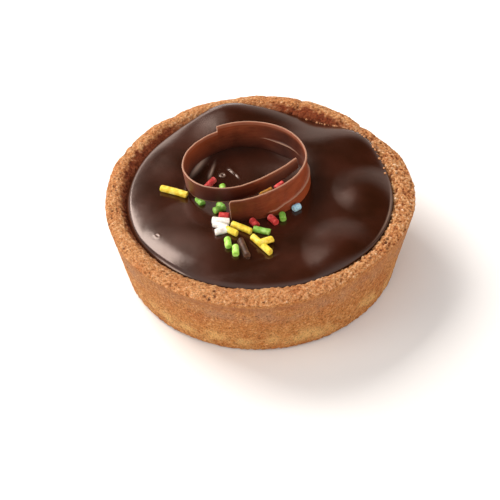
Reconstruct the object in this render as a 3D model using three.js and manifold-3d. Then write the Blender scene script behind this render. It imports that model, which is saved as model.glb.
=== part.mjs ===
// Chocolate tart: a round pastry case, a chocolate filling with a lumpy glazed top and sugar
// sprinkles, and a curl of chocolate ribbon that stands on the filling.
// Millimetres, +Z up. The origin is the middle of the case's underside.
import * as THREE from 'three';
import { mergeVertices } from 'three/addons/utils/BufferGeometryUtils.js';
import Module from 'manifold-3d';

// ---- driving dimensions -------------------------------------------------------------------
const RIM_RADIUS = 40.2; // outside of the case at its rim
const BASE_RADIUS = 35.4; // outside of the case at the table
const INNER_RADIUS = 35; // inside of the case at its rim
const WELL_RADIUS = 30.6; // inside of the case at its floor
const CASE_HEIGHT = 22.2;
const FLOOR_THICKNESS = 4;
const RIM_DROP = 0.6; // the rounded rim falls this far towards its outer edge
const RIM_INNER_DROP = 0.9; // and this far towards its inner edge
const RIM_CORNER = 0.45; // share of the rim's width over which it falls to each side
const RIM_ROWS = [0.06, 0.16, 0.3, 0.5, 0.7, 0.84, 0.94]; // rows across the rim, as shares of its width
const BASE_ROUND = 0.7; // rounded lower edge of the case
const CASE_SECTORS = 96;
const WALL_STEPS = 4;

const CRUMB = 0.16; // depth of the uneven pastry surface
const BREAK_REACH = 1; // a break in the rim goes this far down the outer wall
const JOINT_GAP = 0.3; // clearance between touching pieces

const FILLING_LEVEL = 22.4; // glaze between its lumps
const SHOULDER_WIDTH = 6; // the glaze rolls down to the case over this width
const SHOULDER_DROP = 1;
const FILLING_SECTORS = 72;
const FILLING_RINGS = 13;
const RING_CROWDING = 1.4; // rings crowd towards the edge, where the glaze rolls down

const CURL_CENTRE = new THREE.Vector2(-3.36, 4.1);
const RIBBON_THICKNESS = 0.5;
const RIBBON_TOP = 30; // upper edge of the full-width ribbon
const TORN_TOP = 28.5; // upper edge where a strip has broken away
const TORN_AT = 116; // azimuth of the torn step
const TAIL_RISE = 2.4; // how far the upper edge climbs towards the free inner end
const TAIL_RISE_FROM = 148; // azimuths between which it climbs
const TAIL_RISE_TO = 285;
const TAIL_LIFT = 4.4; // how far the lower edge lifts off the glaze there
const TAIL_LIFT_FROM = 150;
const TAIL_LIFT_TO = 300;
const RIBBON_LEAN_HEIGHT = 7.5; // height over which the ribbon leans by the listed amount
const RIBBON_STEPS = 84;
const TEAR_LAP = 0.002; // share of the route over which the torn part laps the whole part
const TAIL_SLANT = 2.2; // the inner end is cut on the slant: its lower edge reaches further
const TAIL_SLANT_ANGLE = 35; // degrees of the route that the slant takes up
const FRONT_SLANT = 0.5; // the outer end is slanted too, about a point part way down
const FRONT_SLANT_PIVOT = 0.4;
const FRONT_SLANT_ANGLE = 18;
const FRONT_CORNER_ANGLE = 2; // rounded upper corner of the outer end
const STRIP_LAP = 0.25; // lap of the cracked-off lower strip with the ribbon above it
const STRIP_RUN_OUT = 9; // degrees over which it runs on past the crack
const STRIP_STEPS = 34;

const SPRINKLE_RADIUS = 0.9;
const SPRINKLE_SIDES = 6;
const SPRINKLE_SINK = 0.3; // how far a sprinkle is pressed into the glaze
const SPRINKLE_BEARING = 0.35; // it bears on the glaze this share of its length from its middle

// Slow waves round the hand-pressed case: [waves a turn, cosine part, sine part].
const RIM_WAVES = [
  [1, -0.42, 0.13], [2, -0.33, -0.01], [3, 0.4, -0.04], [4, 0.35, -0.22], [5, 0.24, -0.1],
];
const HEIGHT_WAVES = [[1, -0.11, 0.16], [2, -0.21, -0.06], [3, -0.03, 0.05]];
const BASE_WAVES = [[1, -0.36, 0], [2, 0.65, -0.22], [3, 0.09, 0.34]];
const INNER_WAVES = [[1, -0.06, 0.01], [2, -0.02, -0.2], [3, 0, -0.13]];

// Thin stretches of rim, where the glaze bulges outwards.
const THIN_RIM = [
  { azimuth: 103, spread: 24, depth: 1.1 },
  { azimuth: 38, spread: 17, depth: 1.1 },
];
// Stretches of the glaze's edge that lie lower, so that the inside of the case shows, or higher.
const GLAZE_EDGES = [
  { azimuth: 61, spread: 14, height: -1.6, width: 12 },
  { azimuth: 104, spread: 18, height: 1, width: 6 },
];
const EDGE_FALL = 1.6; // power with which the glaze falls or rises to such an edge
// A stretch of rim that bulges outwards, at the back right.
const RIM_BULGE = { azimuth: 19, spread: 9, depth: 0.72 };
// Short breaks in the rim: azimuth, half width in degrees, depth; a rise has a negative depth.
const RIM_BREAKS = [
  { azimuth: 70.5, spread: 2.2, depth: 0.3 },
  { azimuth: 41.5, spread: 2.4, depth: 0.3 },
  { azimuth: 125, spread: 3, depth: 0.3 },
  { azimuth: 51, spread: 4, depth: -0.2 },
  { azimuth: 71, spread: 9, depth: -0.25 },
  { azimuth: 90, spread: 4, depth: -0.2 },
  { azimuth: 113, spread: 8, depth: -0.2 },
];
// Stretches where the rim falls away further to its inner edge; share is the share of its width
// over which it does.
const INNER_DIPS = [
  { azimuth: 190, spread: 24, depth: 0.8, share: 0.22 },
  { azimuth: 148, spread: 26, depth: 1.2, share: 0.5 },
  { azimuth: 66, spread: 22, depth: 1, share: 0.5 },
];
const DIP_FALL = 0.8; // power of that fall
// Lumps and hollows of the glaze: centre, height, spread.
const LUMPS = [
  { x: -27, y: -3, height: 0.5, spread: 9 },
  { x: -21, y: 18, height: 0.5, spread: 10 },
  { x: -7, y: 31, height: 2.1, spread: 9.5 },
  { x: 28, y: 20, height: 1.2, spread: 8 },
  { x: 16.5, y: 15.5, height: 0.9, spread: 9 },
  { x: -3, y: 1, height: -0.95, spread: 17 },
];
// Rounded blobs where the glaze was poured; edge is the power that rounds a blob's edge into the
// glaze around it.
const BLOBS = [
  { x: 27.3, y: -0.8, halfWidth: 9, halfDepth: 10.5, height: 1, edge: 1.8 },
  { x: 19.6, y: -22.5, halfWidth: 10.5, halfDepth: 12.5, height: 1.05, edge: 1.8 },
  { x: -12, y: -15, halfWidth: 18, halfDepth: 15, height: 1.25, edge: 1.35 },
];

// Route of the ribbon from its outer end at the front, once round and across the ring to the
// free end: azimuth about CURL_CENTRE, radius of the upper edge, inward lean of the lower edge.
const RIBBON_ROUTE = [
  [-105, 16.2, 0.8], [-92, 15.2, 0.4], [-75, 14.2, 0], [-58, 13.8, -0.4], [-40, 14.1, -0.6],
  [-22, 14.9, -0.7], [0, 15.9, -0.3], [22, 16.3, 0.5], [45, 16.4, 1.1], [68, 16.1, 1.1],
  [90, 15.9, 1], [112, 15.9, 1], [134, 16, 1.1], [156, 16.4, 1], [180, 16.2, 0.9],
  [200, 15.3, 0.8], [218, 14.1, 0.8], [236, 12.7, 0.8], [256, 11.2, 0.8], [277, 9.8, 0.8],
  [300, 9.1, 0.9], [322, 9.5, 0.9], [340, 10.9, 0.9], [356, 13.2, 0.9],
];
// The cracked strip's shift away from the ribbon, outwards positive: azimuth, shift.
const STRIP_SHIFT = [[-72, 0], [-52, 0.45], [-25, 0.58], [4, 0.58], [28, -0.1], [48, -0.5], [76, 0]];
// Height of the crack above the ribbon's foot: azimuth, height.
const STRIP_HEIGHT = [[-72, 1.3], [-64, 1.5], [-45, 2.4], [-20, 2.9], [76, 3.1]];

// Sprinkles: centre x, y, heading in degrees, whole length, lift off the glaze.
const SPRINKLES = {
  yellow: [
    [-22, 1.1, -22, 7.3, 0], [-7.5, -15.9, -35, 3.6, 0.1], [-4.9, -14.5, -32, 5.8, 0],
    [-0.1, -20.6, -52, 7.3, 0], [1, -19.9, 24, 4, 0.6], [1.8, 0.6, 29, 3.5, 0],
  ],
  green: [
    [-15.3, -2.5, -61, 2.8, -0.3], [-9.9, -5.6, -65, 2.6, 0.1], [-10.4, -6.6, 34, 3.2, 0.1],
    [0.2, -15.4, -18, 4.3, 0], [5.7, -9.9, -86, 2.3, 0], [-9.4, 2.3, -87, 2.4, 0],
    [-8.4, -20.1, -84, 2.9, 0], [-6.6, -22.7, -89, 2.9, 0],
  ],
  red: [
    [-12.7, 4.3, 55, 4.2, 0], [-9.2, -9.6, -8, 2.8, 0.1], [-1.6, -12.5, -58, 2.6, 0],
    [3.2, -11.1, -57, 2.9, 0], [5.4, 2.2, 46, 2.9, 0],
  ],
  white: [[-10.1, -11.8, -9, 4.5, 0.1], [-10.1, -13.9, -28, 4.1, 0.1], [-10, -15.7, 18, 3.3, 0]],
  blue: [[9.4, -6.7, 32, 2, 0]],
  brown: [[-4.5, -21.6, -74, 5.9, -0.3]],
};

// ---- helpers -------------------------------------------------------------------------------
const wasm = await Module();
wasm.setup();

const degrees = (angle) => THREE.MathUtils.radToDeg(angle);

function waves(azimuth, terms) {
  let total = 0;
  for (const [count, cosine, sine] of terms) {
    total += cosine * Math.cos(count * azimuth) + sine * Math.sin(count * azimuth);
  }
  return total;
}

// A smooth bump round an azimuth in degrees: 1 at the middle, 0 away from it.
function bumpAt(azimuth, middle, spread) {
  const apart = THREE.MathUtils.euclideanModulo(degrees(azimuth) - middle + 180, 360) - 180;
  return Math.exp(-((apart / spread) ** 2));
}

// Total depth at an azimuth of a list of spots round the case.
function depthOf(spots, azimuth) {
  let depth = 0;
  for (const spot of spots) {
    depth += spot.depth * bumpAt(azimuth, spot.azimuth, spot.spread);
  }
  return depth;
}

// Smooth interpolation in a list of [key, value] rows.
function lookUp(rows, key) {
  const last = rows.length - 1;
  if (key <= rows[0][0]) return rows[0][1];
  if (key >= rows[last][0]) return rows[last][1];
  const after = rows.findIndex((row) => row[0] > key);
  const [fromKey, fromValue] = rows[after - 1];
  const [toKey, toValue] = rows[after];
  const share = THREE.MathUtils.smoothstep(key, fromKey, toKey);
  return THREE.MathUtils.lerp(fromValue, toValue, share);
}

// Uneven surface of short pastry, between -1 and 1.
function crumbNoise(x, y, z) {
  const coarse = Math.sin(0.83 * x + 1.3 * z) * Math.cos(0.77 * y - 0.9 * z);
  const fine = Math.sin(1.9 * x - 1.4 * y + 2.1 * z + 0.7);
  return 0.65 * coarse + 0.35 * fine;
}

// Keeps only positions, welds them and drops the triangles that have collapsed on the axis.
function weld(geometry) {
  geometry.deleteAttribute('normal');
  geometry.deleteAttribute('uv');
  const merged = mergeVertices(geometry, 1e-4);
  const kept = [];
  const index = merged.index.array;
  for (let i = 0; i < index.length; i += 3) {
    const [a, b, c] = [index[i], index[i + 1], index[i + 2]];
    if (a !== b && b !== c && c !== a) kept.push(a, b, c);
  }
  merged.setIndex(kept);
  return merged;
}

function toSolid(geometry) {
  const merged = weld(geometry);
  return new wasm.Manifold(new wasm.Mesh({
    numProp: 3,
    vertProperties: new Float32Array(merged.attributes.position.array),
    triVerts: new Uint32Array(merged.index.array),
  }));
}

function fromSolid(solid) {
  const mesh = solid.getMesh();
  const geometry = new THREE.BufferGeometry();
  geometry.setAttribute('position', new THREE.BufferAttribute(mesh.vertProperties, 3));
  geometry.setIndex(new THREE.BufferAttribute(mesh.triVerts, 1));
  return geometry;
}

function namedMesh(name, geometry, color, roughness) {
  geometry.computeVertexNormals();
  const material = new THREE.MeshStandardMaterial({ color, roughness, metalness: 0 });
  const mesh = new THREE.Mesh(geometry, material);
  mesh.name = name;
  return mesh;
}

// A lathe turned to stand on +Z, with every vertex then moved by place(point, azimuth, row).
function turned(profile, sectors, place) {
  const geometry = new THREE.LatheGeometry(profile, sectors);
  geometry.rotateX(Math.PI / 2);
  const position = geometry.attributes.position;
  const point = new THREE.Vector3();
  for (let i = 0; i < position.count; i += 1) {
    point.fromBufferAttribute(position, i);
    const sector = Math.floor(i / profile.length) % sectors;
    const azimuth = (sector / sectors) * 2 * Math.PI;
    place(point, azimuth, i % profile.length);
    position.setXYZ(i, point.x, point.y, point.z);
  }
  return geometry;
}

// ---- pastry case ---------------------------------------------------------------------------
// Inside radius of the case at a height.
function wellRadius(azimuth, z) {
  const atRim = INNER_RADIUS + waves(azimuth, INNER_WAVES) + depthOf(THIN_RIM, azimuth);
  const share = (z - FLOOR_THICKNESS) / (CASE_HEIGHT - FLOOR_THICKNESS);
  return THREE.MathUtils.lerp(WELL_RADIUS, atRim, share);
}

// Outside radius of the case at a height.
function wallRadius(azimuth, z) {
  const atBase = BASE_RADIUS + waves(azimuth, BASE_WAVES);
  const bulge = RIM_BULGE.depth * bumpAt(azimuth, RIM_BULGE.azimuth, RIM_BULGE.spread);
  const atRim = RIM_RADIUS + waves(azimuth, RIM_WAVES) + bulge;
  return THREE.MathUtils.lerp(atBase, atRim, Math.min(1, z / (CASE_HEIGHT - RIM_DROP)));
}

const rimBreak = (azimuth) => depthOf(RIM_BREAKS, azimuth);

// How much lower the rim and the well's wall below it lie towards the inside.
function innerDip(azimuth, row) {
  const upTheWall = (row.z - FLOOR_THICKNESS) / (CASE_HEIGHT - RIM_INNER_DROP - FLOOR_THICKNESS);
  let dip = 0;
  for (const { azimuth: middle, spread, depth, share } of INNER_DIPS) {
    const towardsInner = Math.max(0, 1 - row.inside / share) ** DIP_FALL;
    dip += depth * bumpAt(azimuth, middle, spread) * towardsInner;
  }
  return dip * Math.min(1, upTheWall);
}

// The profile's rows from the middle of the underside over the rim to the middle of the floor.
// inside runs from 0 at the well's wall to 1 at the outer wall.
function caseRows() {
  const rows = [{ inside: 0, z: FLOOR_THICKNESS, axis: true }];
  const innerTop = CASE_HEIGHT - RIM_INNER_DROP;
  for (let step = 0; step <= WALL_STEPS; step += 1) {
    const z = THREE.MathUtils.lerp(FLOOR_THICKNESS, innerTop, step / WALL_STEPS);
    rows.push({ inside: 0, z });
  }
  for (const across of RIM_ROWS) {
    const innerCorner = Math.max(0, 1 - across / RIM_CORNER) ** 2;
    const outerCorner = Math.max(0, 1 - (1 - across) / RIM_CORNER) ** 2;
    const drop = RIM_INNER_DROP * innerCorner + RIM_DROP * outerCorner;
    rows.push({ inside: across, z: CASE_HEIGHT - drop, rim: true });
  }
  const outerTop = CASE_HEIGHT - RIM_DROP;
  for (let step = 0; step <= WALL_STEPS; step += 1) {
    const z = THREE.MathUtils.lerp(outerTop, BASE_ROUND, step / WALL_STEPS);
    rows.push({ inside: 1, z });
  }
  rows.push({ inside: 1, z: 0, inset: BASE_ROUND });
  rows.push({ inside: 1, z: 0, axis: true });
  return rows.reverse();
}

function pastryCase() {
  const rows = caseRows();
  const profile = rows.map((row) => new THREE.Vector2(row.axis ? 0 : RIM_RADIUS, row.z));
  const geometry = turned(profile, CASE_SECTORS, (point, azimuth, index) => {
    const row = rows[index];
    if (row.axis) {
      point.set(0, 0, row.z);
      return;
    }
    let z = row.z - innerDip(azimuth, row);
    const inner = wellRadius(azimuth, z);
    const outer = wallRadius(azimuth, z) - (row.inset ?? 0);
    let reach = THREE.MathUtils.lerp(inner, outer, row.inside);
    if (row.inside > 0 && z > 0) {
      const rough = CRUMB * crumbNoise(reach * Math.cos(azimuth), reach * Math.sin(azimuth), z);
      reach += row.inside * rough;
      if (row.rim) z += rough;
    }
    z += (z / CASE_HEIGHT) ** 2 * waves(azimuth, HEIGHT_WAVES);
    if (row.rim) z -= rimBreak(azimuth) * Math.sqrt(Math.sin(Math.PI * row.inside));
    const nearRim = row.z > CASE_HEIGHT - RIM_DROP - BREAK_REACH;
    if (nearRim) reach -= row.inside * rimBreak(azimuth);
    point.set(reach * Math.cos(azimuth), reach * Math.sin(azimuth), z);
  });
  return namedMesh('pastry_case', weld(geometry), 0xc68c5c, 0.85);
}

// ---- chocolate filling ---------------------------------------------------------------------
// Height of the glaze, before the drop at its edge.
function lumpHeight(x, y) {
  let z = FILLING_LEVEL;
  for (const lump of LUMPS) {
    const apart = Math.hypot(x - lump.x, y - lump.y) / lump.spread;
    z += lump.height * Math.exp(-(apart ** 2));
  }
  for (const blob of BLOBS) {
    const apart = Math.hypot((x - blob.x) / blob.halfWidth, (y - blob.y) / blob.halfDepth);
    z += blob.height * Math.max(0, 1 - apart ** 2) ** blob.edge;
  }
  return z;
}

const fillingRadius = (azimuth, z) => wellRadius(azimuth, z) - JOINT_GAP;

function glazeHeight(x, y) {
  const azimuth = Math.atan2(y, x);
  const edge = fillingRadius(azimuth, CASE_HEIGHT - RIM_INNER_DROP);
  const inward = edge - Math.hypot(x, y);
  const nearEdge = (width) => 1 - THREE.MathUtils.clamp(inward / width, 0, 1);
  const round = 1 - Math.sqrt(1 - nearEdge(SHOULDER_WIDTH) ** 2);
  let edgeHeight = 0;
  for (const { azimuth: middle, spread, height, width } of GLAZE_EDGES) {
    edgeHeight += height * bumpAt(azimuth, middle, spread) * nearEdge(width) ** EDGE_FALL;
  }
  return lumpHeight(x, y) - round * SHOULDER_DROP + edgeHeight;
}

function fillingBody() {
  const bottom = FLOOR_THICKNESS + JOINT_GAP;
  const rows = [{ axis: true }];
  for (let ring = 1; ring <= FILLING_RINGS; ring += 1) {
    rows.push({ share: 1 - (1 - ring / FILLING_RINGS) ** RING_CROWDING });
  }
  rows.push({ share: 1, z: bottom });
  rows.push({ axis: true, z: bottom });
  rows.reverse(); // a lathe's profile runs from the underside up, so that its faces point out
  const profile = rows.map((row) => {
    const height = row.z ?? CASE_HEIGHT;
    return new THREE.Vector2(row.axis ? 0 : INNER_RADIUS, height);
  });
  return turned(profile, FILLING_SECTORS, (point, azimuth, index) => {
    const row = rows[index];
    if (row.axis) {
      point.set(0, 0, row.z ?? glazeHeight(0, 0));
      return;
    }
    const edge = fillingRadius(azimuth, CASE_HEIGHT - RIM_INNER_DROP);
    const x = edge * row.share * Math.cos(azimuth);
    const y = edge * row.share * Math.sin(azimuth);
    const z = row.z ?? glazeHeight(x, y);
    // The outermost ring and the underside follow the sloping wall at their own height.
    const reach = row.share === 1 ? fillingRadius(azimuth, z) : edge * row.share;
    point.set(reach * Math.cos(azimuth), reach * Math.sin(azimuth), z);
  });
}

// A short rod lying on the glaze.
function sprinkle([x, y, heading, length, lift]) {
  const rod = new THREE.CylinderGeometry(SPRINKLE_RADIUS, SPRINKLE_RADIUS, length, SPRINKLE_SIDES);
  rod.rotateZ(-Math.PI / 2);
  const turn = THREE.MathUtils.degToRad(heading);
  const bearing = SPRINKLE_BEARING * length;
  const alongX = bearing * Math.cos(turn);
  const alongY = bearing * Math.sin(turn);
  const ahead = glazeHeight(x + alongX, y + alongY);
  const behind = glazeHeight(x - alongX, y - alongY);
  rod.rotateY(-Math.atan2(ahead - behind, 2 * bearing));
  rod.rotateZ(turn);
  const ground = Math.max(glazeHeight(x, y), (ahead + behind) / 2);
  rod.translate(x, y, ground + SPRINKLE_RADIUS - SPRINKLE_SINK + lift);
  return toSolid(rod);
}

function chocolateFilling() {
  let solid = toSolid(fillingBody());
  for (const colour of Object.values(SPRINKLES)) {
    for (const row of colour) solid = solid.add(sprinkle(row));
  }
  return namedMesh('chocolate_filling', fromSolid(solid), 0x3a1d12, 0.25);
}

// ---- chocolate curl ------------------------------------------------------------------------
const ROUTE_AZIMUTHS = RIBBON_ROUTE.map((row) => row[0]);
const ROUTE_START = ROUTE_AZIMUTHS[0];
const ROUTE_END = ROUTE_AZIMUTHS[ROUTE_AZIMUTHS.length - 1];
const ROUTE_CURVE = new THREE.CatmullRomCurve3(RIBBON_ROUTE.map(([azimuth, radius, lean]) => {
  const angle = THREE.MathUtils.degToRad(azimuth);
  const x = CURL_CENTRE.x + radius * Math.cos(angle);
  const y = CURL_CENTRE.y + radius * Math.sin(angle);
  return new THREE.Vector3(x, y, lean);
}), false, 'centripetal');

// Azimuth along the curve's own parameter, which passes one listed row at each step.
function azimuthAt(t) {
  const place = t * (ROUTE_AZIMUTHS.length - 1);
  const before = Math.min(Math.floor(place), ROUTE_AZIMUTHS.length - 2);
  return THREE.MathUtils.lerp(ROUTE_AZIMUTHS[before], ROUTE_AZIMUTHS[before + 1], place - before);
}

function tailRise(azimuth) {
  return TAIL_RISE * THREE.MathUtils.smoothstep(azimuth, TAIL_RISE_FROM, TAIL_RISE_TO);
}

function ribbonTop(azimuth) {
  const fromEnd = (azimuth - ROUTE_START) / FRONT_CORNER_ANGLE;
  const corner = THREE.MathUtils.clamp(1 - fromEnd, 0, 1) ** 2;
  const full = azimuth > TORN_AT ? TORN_TOP : RIBBON_TOP - corner;
  return full + tailRise(azimuth);
}

// One cross-section of the ribbon: plan point, unit vector to its inner side, and lean.
function ribbonStation(t) {
  const point = ROUTE_CURVE.getPoint(t);
  const tangent = ROUTE_CURVE.getTangent(t);
  const inward = new THREE.Vector2(-tangent.y, tangent.x).normalize();
  return { point, inward, azimuth: azimuthAt(t) };
}

// A point of the ribbon at height z, shifted towards its inner side.
function ribbonPoint(station, z, shift) {
  const lean = station.point.z * (RIBBON_TOP - z) / RIBBON_LEAN_HEIGHT;
  const inward = lean + shift;
  const x = station.point.x + station.inward.x * inward;
  const y = station.point.y + station.inward.y * inward;
  return new THREE.Vector3(x, y, z);
}

// Lowest height of a section that clears the glaze under both of its faces.
function restingHeight(station, shift) {
  let ground = 0;
  for (const side of [-1, 1]) {
    const foot = ribbonPoint(station, FILLING_LEVEL, shift + side * RIBBON_THICKNESS / 2);
    ground = Math.max(ground, glazeHeight(foot.x, foot.y));
  }
  return ground + JOINT_GAP;
}

// How far a point near either end is moved along the ribbon, so that the ends are slanted.
function endSlant(station, z) {
  const { smoothstep, clamp } = THREE.MathUtils;
  const { azimuth } = station;
  const down = clamp((ribbonTop(azimuth) - z) / RIBBON_LEAN_HEIGHT, 0, 1);
  const tail = smoothstep(azimuth, ROUTE_END - TAIL_SLANT_ANGLE, ROUTE_END);
  const front = 1 - smoothstep(azimuth, ROUTE_START, ROUTE_START + FRONT_SLANT_ANGLE);
  return tail * TAIL_SLANT * down + front * FRONT_SLANT * (down - FRONT_SLANT_PIVOT);
}

// A closed band through sections that each give [lower z, upper z, shift].
function band(stations, section) {
  const steps = stations.length - 1;
  const geometry = new THREE.BoxGeometry(1, 1, 1, steps, 1, 1);
  const position = geometry.attributes.position;
  for (let i = 0; i < position.count; i += 1) {
    const step = Math.round((position.getX(i) + 0.5) * steps);
    const station = stations[step];
    const [low, high, shift] = section(station, step);
    const z = position.getZ(i) > 0 ? high : low;
    const side = position.getY(i) > 0 ? 1 : -1;
    const moved = ribbonPoint(station, z, shift + side * RIBBON_THICKNESS / 2);
    const along = endSlant(station, z);
    moved.x += station.inward.y * along;
    moved.y -= station.inward.x * along;
    position.setXYZ(i, moved.x, moved.y, moved.z);
  }
  return toSolid(geometry);
}

function stationsBetween(fromT, toT, steps) {
  const stations = [];
  for (let step = 0; step <= steps; step += 1) {
    stations.push(ribbonStation(THREE.MathUtils.lerp(fromT, toT, step / steps)));
  }
  return stations;
}

// The curve parameter at which the route passes an azimuth.
function parameterAt(azimuth) {
  const after = ROUTE_AZIMUTHS.findIndex((value) => value > azimuth);
  const from = ROUTE_AZIMUTHS[after - 1];
  const share = (azimuth - from) / (ROUTE_AZIMUTHS[after] - from);
  return (after - 1 + share) / (ROUTE_AZIMUTHS.length - 1);
}

const CRACK_START = STRIP_SHIFT[0][0];
const CRACK_END = STRIP_SHIFT[STRIP_SHIFT.length - 1][0];

// Lower edge of the ribbon: on the glaze, on the cracked strip, or climbing with the tail.
function ribbonFoot(station) {
  const { azimuth } = station;
  const base = restingHeight(station, 0);
  const lift = TAIL_LIFT * THREE.MathUtils.smoothstep(azimuth, TAIL_LIFT_FROM, TAIL_LIFT_TO);
  const inCrack = azimuth > CRACK_START && azimuth < CRACK_END;
  return inCrack ? base + lookUp(STRIP_HEIGHT, azimuth) - STRIP_LAP : base + lift;
}

function crackedStrip() {
  const from = parameterAt(CRACK_START - STRIP_RUN_OUT);
  const to = parameterAt(CRACK_END + STRIP_RUN_OUT);
  return band(stationsBetween(from, to, STRIP_STEPS), (station) => {
    const shift = -lookUp(STRIP_SHIFT, station.azimuth);
    const low = restingHeight(station, shift);
    return [low, low + lookUp(STRIP_HEIGHT, station.azimuth), shift];
  });
}

function chocolateCurl() {
  const tear = parameterAt(TORN_AT);
  const wholeSteps = Math.round(RIBBON_STEPS * tear);
  const whole = band(stationsBetween(0, tear, wholeSteps), (station) => {
    const azimuth = Math.min(station.azimuth, TORN_AT);
    return [ribbonFoot(station), ribbonTop(azimuth), 0];
  });
  const tornSteps = RIBBON_STEPS - wholeSteps;
  const torn = band(stationsBetween(tear - TEAR_LAP, 1, tornSteps), (station) => {
    const azimuth = Math.max(station.azimuth, TORN_AT + 1);
    return [ribbonFoot(station), ribbonTop(azimuth), 0];
  });
  const solid = whole.add(torn).add(crackedStrip());
  return namedMesh('chocolate_curl', fromSolid(solid), 0x6d3423, 0.4);
}

// ---- the tart ------------------------------------------------------------------------------
const tart = new THREE.Group();
tart.add(pastryCase());
tart.add(chocolateFilling());
tart.add(chocolateCurl());

export default tart;
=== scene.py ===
"""Looks of the chocolate tart: baked pastry case, glossy chocolate glaze, sugar sprinkles and
a curl of chocolate ribbon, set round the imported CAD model."""

import math
import random

import bmesh
import bpy
import numpy as np
from mathutils import Matrix, Vector, noise


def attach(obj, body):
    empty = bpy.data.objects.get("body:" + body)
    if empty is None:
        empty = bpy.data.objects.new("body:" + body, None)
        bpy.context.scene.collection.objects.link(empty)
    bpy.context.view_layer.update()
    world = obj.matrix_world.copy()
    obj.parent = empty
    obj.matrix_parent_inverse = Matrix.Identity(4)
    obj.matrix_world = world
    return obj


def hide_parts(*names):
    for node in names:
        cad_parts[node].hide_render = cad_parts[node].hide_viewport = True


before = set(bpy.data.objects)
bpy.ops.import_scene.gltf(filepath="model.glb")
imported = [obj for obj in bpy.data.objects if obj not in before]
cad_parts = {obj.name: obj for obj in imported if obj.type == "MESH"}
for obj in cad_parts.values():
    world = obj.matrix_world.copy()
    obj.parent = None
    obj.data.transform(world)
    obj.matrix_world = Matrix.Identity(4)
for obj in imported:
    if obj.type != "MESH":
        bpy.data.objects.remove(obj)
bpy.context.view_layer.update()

MM = 0.001
SEED = 20
CRUMB_SEED = 7

# ---- dimensions, in millimetres, as in the CAD model ----
RIM_RADIUS = 40.2
BASE_RADIUS = 35.4
INNER_RADIUS = 35.0
WELL_RADIUS = 30.6
CASE_HEIGHT = 22.2
FLOOR_THICKNESS = 4.0
RIM_DROP = 0.6
RIM_INNER_DROP = 0.9
RIM_CORNER = 0.45
BASE_ROUND = 0.7
# Slow waves round the hand-pressed case: waves a turn, cosine part, sine part.
RIM_WAVES = [
    (1, -0.42, 0.13), (2, -0.33, -0.01), (3, 0.4, -0.04), (4, 0.35, -0.22), (5, 0.24, -0.1),
]
HEIGHT_WAVES = [(1, -0.11, 0.16), (2, -0.21, -0.06), (3, -0.03, 0.05)]
BASE_WAVES = [(1, -0.36, 0), (2, 0.65, -0.22), (3, 0.09, 0.34)]
INNER_WAVES = [(1, -0.06, 0.01), (2, -0.02, -0.2), (3, 0, -0.13)]
# Thin stretches of the rim, a stretch that bulges outwards, and breaks: azimuth, spread, depth. A
# rise has a negative depth.
THIN_RIM = [(103, 24, 1.1), (38, 17, 1.1)]
RIM_BULGE = (19, 9, 0.72)
RIM_BREAKS = [
    (70.5, 2.2, 0.3), (41.5, 2.4, 0.3), (125, 3, 0.3), (51, 4, -0.2), (71, 9, -0.25), (90, 4, -0.2),
    (113, 8, -0.2),
]
# Stretches where the rim falls away further to its inner edge: azimuth, spread, depth, and the
# share of its width over which it does.
INNER_DIPS = [(190, 24, 0.8, 0.22), (148, 26, 1.2, 0.5), (66, 22, 1.0, 0.5)]
DIP_FALL = 0.8

FILLING_LEVEL = 22.4
SHOULDER_WIDTH = 6.0
SHOULDER_DROP = 1.0
# Azimuth, spread, height, and width of the band over which the glaze falls or rises.
GLAZE_EDGES = [(61, 14, -1.6, 12), (104, 18, 1.0, 6)]
EDGE_FALL = 1.6
# Lumps and hollows: centre x, y, height, spread.
LUMPS = [
    (-27, -3, 0.5, 9), (-21, 18, 0.5, 10), (-7, 31, 2.1, 9.5), (28, 20, 1.2, 8),
    (16.5, 15.5, 0.9, 9), (-3, 1, -0.95, 17),
]
# Where the glaze was poured in soft blobs: centre x, y, half width, half depth, height, and the
# power that rounds its edge.
BLOBS = [
    (27.3, -0.8, 9, 10.5, 1.0, 1.8), (19.6, -22.5, 10.5, 12.5, 1.05, 1.8),
    (-12, -15, 18, 15, 1.25, 1.35),
]

CURL_CENTRE = (-3.36, 4.1)
RIBBON_THICKNESS = 0.5
RIBBON_TOP = 30.0
TORN_TOP = 28.5
TORN_AT = 116
TAIL_RISE = 2.4
TAIL_RISES = (148, 285)
TAIL_LIFT = 4.4
TAIL_LIFTS = (150, 300)
RIBBON_LEAN_HEIGHT = 7.5
TAIL_SLANT = 2.2
TAIL_SLANT_ANGLE = 35
FRONT_SLANT = 0.5
FRONT_SLANT_PIVOT = 0.4
FRONT_SLANT_ANGLE = 18
FRONT_CORNER_ANGLE = 2
# From the ribbon's outer end to its free inner end: azimuth about CURL_CENTRE, radius of the
# upper edge, inward lean of the lower edge.
RIBBON_ROUTE = [
    (-105, 16.2, 0.8), (-92, 15.2, 0.4), (-75, 14.2, 0), (-58, 13.8, -0.4), (-40, 14.1, -0.6),
    (-22, 14.9, -0.7), (0, 15.9, -0.3), (22, 16.3, 0.5), (45, 16.4, 1.1), (68, 16.1, 1.1),
    (90, 15.9, 1), (112, 15.9, 1), (134, 16, 1.1), (156, 16.4, 1), (180, 16.2, 0.9),
    (200, 15.3, 0.8), (218, 14.1, 0.8), (236, 12.7, 0.8), (256, 11.2, 0.8), (277, 9.8, 0.8),
    (300, 9.1, 0.9), (322, 9.5, 0.9), (340, 10.9, 0.9), (356, 13.2, 0.9),
]
# The cracked-off lower strip: azimuth, shift outwards; azimuth, height of the crack above the foot.
STRIP_SHIFT = [(-72, 0), (-52, 0.45), (-25, 0.58), (4, 0.58), (28, -0.1), (48, -0.5), (76, 0)]
STRIP_HEIGHT = [(-72, 1.3), (-64, 1.5), (-45, 2.4), (-20, 2.9), (76, 3.1)]

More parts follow.
